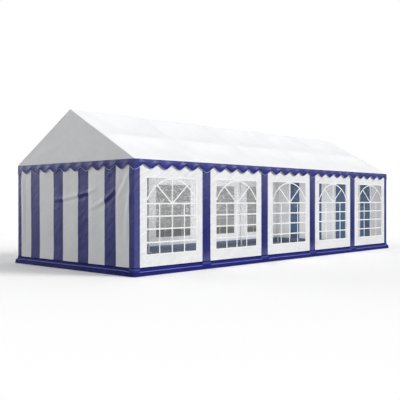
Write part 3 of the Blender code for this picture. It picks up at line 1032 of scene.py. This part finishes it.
for side, seed in WALL_SEEDS.items():
    panes = []
    for number, centre in enumerate(BAY_CENTRES, start=1):
        width = WINDOW_HALF + PANE_MARGIN
        cloth = cut_cloth(
            spread([-width, 0, width], PANE_STEP),
            spread([WINDOW_BOTTOM - PANE_MARGIN, WINDOW_TOP + PANE_MARGIN], PANE_STEP),
        )
        lay_on_wall(cloth, centre, seed, -PANE_DEPTH)
        pane = hang(f"{side}_window_pane_{number}", cloth, window_film, side=side, thickness=FILM)
        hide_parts(f"{side}_window_film")

# %% Bars and frame strip
def straight_bar(bm, start, end):
    """Add a flat strip from start to end, both places across and up in the bay's plane."""
    run = Vector((end[0] - start[0], 0, end[1] - start[1]))
    steps = max(2, round(run.length / BAR_STEP))
    made = bmesh.ops.create_grid(bm, x_segments=steps, y_segments=1, size=0.5)
    verts = made["verts"]
    bmesh.ops.scale(bm, verts=verts, vec=(run.length, BAR_WIDTH, 1))
    bmesh.ops.rotate(bm, verts=verts, cent=(0, 0, 0), matrix=Matrix.Rotation(math.pi / 2, 3, "X"))
    tilt = -math.atan2(run.z, run.x)
    bmesh.ops.rotate(bm, verts=verts, cent=(0, 0, 0), matrix=Matrix.Rotation(tilt, 3, "Y"))
    middle = ((start[0] + end[0]) / 2, 0, (start[1] + end[1]) / 2)
    bmesh.ops.translate(bm, verts=verts, vec=middle)


def arch_bar(bm):
    """Add the arch as a short edge spun about the arch's centre."""
    reach = math.asin(WINDOW_HALF / ARCH_RADIUS)
    ends = []
    for radius in (ARCH_RADIUS - BAR_WIDTH, ARCH_RADIUS):
        ends.append(
            bm.verts.new((-radius * math.sin(reach), 0, ARCH_CENTRE + radius * math.cos(reach)))
        )
    edge = bm.edges.new(ends)
    bmesh.ops.spin(
        bm,
        geom=[edge, *ends],
        cent=(0, 0, ARCH_CENTRE),
        axis=(0, 1, 0),
        angle=2 * reach,
        steps=ARCH_STEPS,
        use_merge=False,
    )


def frame_strip(bm):
    """Add the strip round the window hole, as a ring between two rectangles."""
    side = WINDOW_HALF + BAR_WIDTH / 2 - FRAME_LAP
    low = WINDOW_BOTTOM - BAR_WIDTH / 2 + FRAME_LAP
    high = WINDOW_TOP + BAR_WIDTH / 2 - FRAME_LAP
    end = side + BAR_WIDTH / 2
    for height in (low, high):
        straight_bar(bm, (-end, height), (end, height))
    for across in (-side, side):
        straight_bar(bm, (across, low + BAR_WIDTH / 2), (across, high - BAR_WIDTH / 2))


def close_strips(bm, name, side):
    """Turn flat strips into thin closed ones that face out, and put them in the scene."""
    flat = bm.loops.layers.uv.new("cloth")
    for face in bm.faces:
        for corner in face.loops:
            corner[flat].uv = (corner.vert.co.x, corner.vert.co.z)
    bm.normal_update()
    inward = [face for face in bm.faces if face.normal.y > 0]
    bmesh.ops.reverse_faces(bm, faces=inward)
    return hang(name, bm, bar_tape, bar_back, side=side, thickness=TAPE, inside={0: 1})


for side, seed in WALL_SEEDS.items():
    for number, centre in enumerate(BAY_CENTRES, start=1):
        bars = bmesh.new()
        for height in CROSS_BARS:
            straight_bar(bars, (-WINDOW_HALF, height), (WINDOW_HALF, height))
        for across in UPRIGHTS:
            straight_bar(bars, (across, WINDOW_BOTTOM), (across, CROSS_BARS[0]))
        straight_bar(bars, (0, WINDOW_BOTTOM), (0, WINDOW_TOP))
        for way in (-1, 1):
            straight_bar(bars, (0, CROSS_BARS[0]), (way * FAN_END[0], FAN_END[1]))
        arch_bar(bars)
        lay_on_wall(bars, centre, seed, BAR_LIFT - PANE_DEPTH)
        lattice = close_strips(bars, f"{side}_window_bars_{number}", side)
        strip = bmesh.new()
        frame_strip(strip)
        lay_on_wall(strip, centre, seed, FRAME_LIFT, rippled=False)
        surround = close_strips(strip, f"{side}_window_frame_{number}", side)

# %% [markdown]
# ## The striped end walls
#
# Each end wall is welded from blue and white strips. It hangs between the
# corner legs with more slack than the long walls, so tall soft folds run
# down it, and one long crease sags across the middle where the sheet was
# folded in its bag. Each fold is a path with a height and a width, and the
# first two follow the picture.
# The blue bands at the corners are sewn on outside, so they don't show within.

# %% Rule of an end wall
STRIPES = (0.385, 0.345, 0.520, 0.345, 0.520, 0.345, 0.520, 0.345, 0.385)
GABLE_HALF = 1.9990
GABLE_SEEDS = {"left": 13.7, "right": 71.2}
GABLE_FOLDS = (
    ([(0.66, 1.24), (0.90, 1.31), (1.16, 1.42), (1.34, 1.53), (1.50, 1.64)], 0.019, 0.055),
    ([(-0.60, 1.42), (-0.26, 1.435), (0.27, 1.51), (0.61, 1.57), (0.90, 1.65)], 0.017, 0.050),
    ([(1.82, 2.00), (1.68, 1.76), (1.52, 1.50)], 0.014, 0.065),
    ([(1.84, 1.60), (1.76, 1.20), (1.72, 0.70)], 0.014, 0.065),
    ([(-1.85, 2.00), (-1.80, 1.20), (-1.84, 0.50)], 0.014, 0.065),
)


def gable_bulge(x, z, seed):
    """How far an end wall stands out from its plane at a point."""
    held = ease(z, WALL_FOOT, 0.45) * (1 - ease(z, 1.90, 2.05))
    free = ease(GABLE_HALF - abs(x), 0.0, 0.16)
    bulge = 0.012 * ruffle(x, z, seed, 0.8, 1.6)
    bulge += 0.007 * ruffle(x, z, seed + 3, 0.24, 5.0)
    bulge += 0.002 * ruffle(x, z, seed + 7, 0.10, 2.0)
    for path, height, width in GABLE_FOLDS:
        bulge += fold((x, z), path, height, width)
    return held * free * bulge


# %% End walls
stripe_edges = [-HALF_WIDTH + CORNER_BAND]
for width in STRIPES:
    stripe_edges.append(stripe_edges[-1] + width)
blue_stripes = list(zip(stripe_edges[1:-1:2], stripe_edges[2:-1:2]))
columns = spread([-GABLE_HALF, *stripe_edges, GABLE_HALF], WALL_STEP)
rows = spread([WALL_EDGE, WALL_TOP], WALL_STEP)

for side, seed in GABLE_SEEDS.items():
    cloth = cut_cloth(columns, rows)
    for face in cloth.faces:
        middle = face.calc_center_median()
        if any(low < middle.x < high for low, high in blue_stripes):
            face.material_index = 1
        if abs(middle.x) > HALF_WIDTH - CORNER_BAND:
            face.material_index = 3
    mark_welds(cloth, stripe_edges)
    for vert in cloth.verts:
        vert.co.y = -HALF_LENGTH - gable_bulge(vert.co.x, vert.co.z, seed)
    # The corner bands are blue outside and white within.
    finishes = (white_sheet, blue_sheet, blue_inside_painted_daylight, blue_sheet)
    wall = hang(f"{side}_gable_sheet", cloth, *finishes, side=side, inside={1: 2, 3: 0})
    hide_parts(f"{side}_gable_wall")

# %% [markdown]
# ## The foot of the walls
#
# A blue strip runs round the foot of all four walls. It tucks in under the
# white sheet, slopes out over the ground rail, and drops to the floor from an
# edge that carries a painted highlight. At the legs the blue band comes down
# over it as a flap, so the tuck is gone there; the flap has a fainter painted
# highlight. The strip is one ring, shaped from its section.
# Inside the tent a second ring hangs behind it, almost down to the floor.

# %% Rule of the foot
SECTION = [
    (-0.0018, 0.165),
    (-0.006, 0.156),
    (-0.013, 0.148),
    (-0.015, 0.136),
    (-0.012, 0.125),
    (0.000, 0.115),
    (0.014, 0.104),
    (0.028, 0.094),
    (0.038, 0.085),
    (0.043, 0.074),
    (0.044, 0.060),
    (0.044, 0.044),
    (0.046, 0.028),
    (0.048, 0.013),
    (0.050, 0.0),
]
HIGHLIGHT_SHARES = (0.55, 0.63)
FLAP_HIGHLIGHT_SHARES = (0.20, 0.42)
GABLE_LIFT = 0.017
FLAP_EDGE = 0.02
FOOT_LENGTH = 0.20
FOOT_ROWS = 28
FOOT_STEP = 0.05


def foot_section(share):
    """Reach out and height of the strip, a share of the way down its section."""
    place = min(1.0, max(0.0, share)) * (len(SECTION) - 1)
    step = min(int(place), len(SECTION) - 2)
    start, end = Vector(SECTION[step]), Vector(SECTION[step + 1])
    return start.lerp(end, place - step)


def foot_point(distance, share):
    """Place of a point of the foot, from its distance round the tent."""
    reach, up = foot_section(share)
    along, length = side_at(distance)
    from_post = from_leg(along, length)
    if length == SHORT_SIDE:
        middle = ease(share, 0.0, 0.3) * (1 - ease(share, 0.65, 1.0))
        up += GABLE_LIFT * middle * ease(from_post, 0.1, 0.3)
    flap = 1 - ease(from_post, POST_BAND_HALF, POST_BAND_HALF + FLAP_EDGE)
    reach += flap * (max(reach, 0.002 + 0.020 * share) - reach)
    loose = ease(share, 0.3, 0.5) * (1 - ease(share, 0.9, 1.0))
    reach += loose * 0.004 * noise.noise(Vector((distance / 0.35, share * 2, 3.3)))
    reach += loose * 0.002 * noise.noise(Vector((distance / 0.08, share * 5, 6.3)))
    up += loose * 0.003 * ruffle(distance, 0, 8.3, 0.5)
    return round_the_tent(distance, reach, max(0.0, up))


# %% Foot ring
long_starts = (CORNERS[0], CORNERS[2])
post_places = CORNERS + [start + BAY * step for start in long_starts for step in range(1, BAYS)]
flap_half = POST_BAND_HALF + FLAP_EDGE
offsets = (-flap_half, -POST_BAND_HALF, POST_BAND_HALF, flap_half)
stops = {post + offset for post in post_places for offset in offsets}
stops = {stop for stop in stops if 0 < stop < ROUND_LENGTH}
columns = spread(sorted({*CORNERS, *stops}), FOOT_STEP)
cloth = cut_cloth(columns, spread([0, FOOT_LENGTH], FOOT_LENGTH / FOOT_ROWS))
weld_and_highlight = cloth.verts.layers.float["weld_and_highlight"]
for vert in cloth.verts:
    share = 1 - vert.co.z / FOOT_LENGTH
    between_posts = all(abs(vert.co.x - post) > POST_BAND_HALF for post in post_places)
    # Painted highlights: a pale line along the edge between the legs, and a fainter band across
    # each flap.
    if between_posts and HIGHLIGHT_SHARES[0] < share < HIGHLIGHT_SHARES[1]:
        vert[weld_and_highlight] = 1.0
    elif not between_posts and FLAP_HIGHLIGHT_SHARES[0] < share < FLAP_HIGHLIGHT_SHARES[1]:
        vert[weld_and_highlight] = 0.3
    vert.co = foot_point(vert.co.x, share)
bmesh.ops.remove_doubles(cloth, verts=cloth.verts, dist=MERGE)
foot = hang("foot_strip", cloth, foot_sheet, foot_inside_painted_daylight, inside={0: 1})
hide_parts(*[f"{side}_base_roll" for side in SIDES])

# %% Inner side of the foot
SKIRT_TOP = 0.168
SKIRT_REACH = 0.019
SKIRT_TIGHT = 0.0045
skirt_rows = [0.006, 0.04, 0.08, 0.12, 0.14, 0.155, SKIRT_TOP]
cloth = cut_cloth(columns, skirt_rows)
for vert in cloth.verts:
    distance, up = vert.co.x, vert.co.z
    along, length = side_at(distance)
    loose = ease(from_leg(along, length), POST_BAND_HALF, 0.3) * (1 - ease(up, 0.135, SKIRT_TOP))
    reach = -SKIRT_TIGHT - (SKIRT_REACH - SKIRT_TIGHT) * loose
    reach -= 0.002 * loose * noise.noise(Vector((distance / 0.3, up * 4, 12.3)))
    vert.co = round_the_tent(distance, reach, up)
bmesh.ops.remove_doubles(cloth, verts=cloth.verts, dist=MERGE)
skirt = hang("foot_skirt", cloth, foot_sheet, foot_inside_painted_daylight, inside={0: 1})
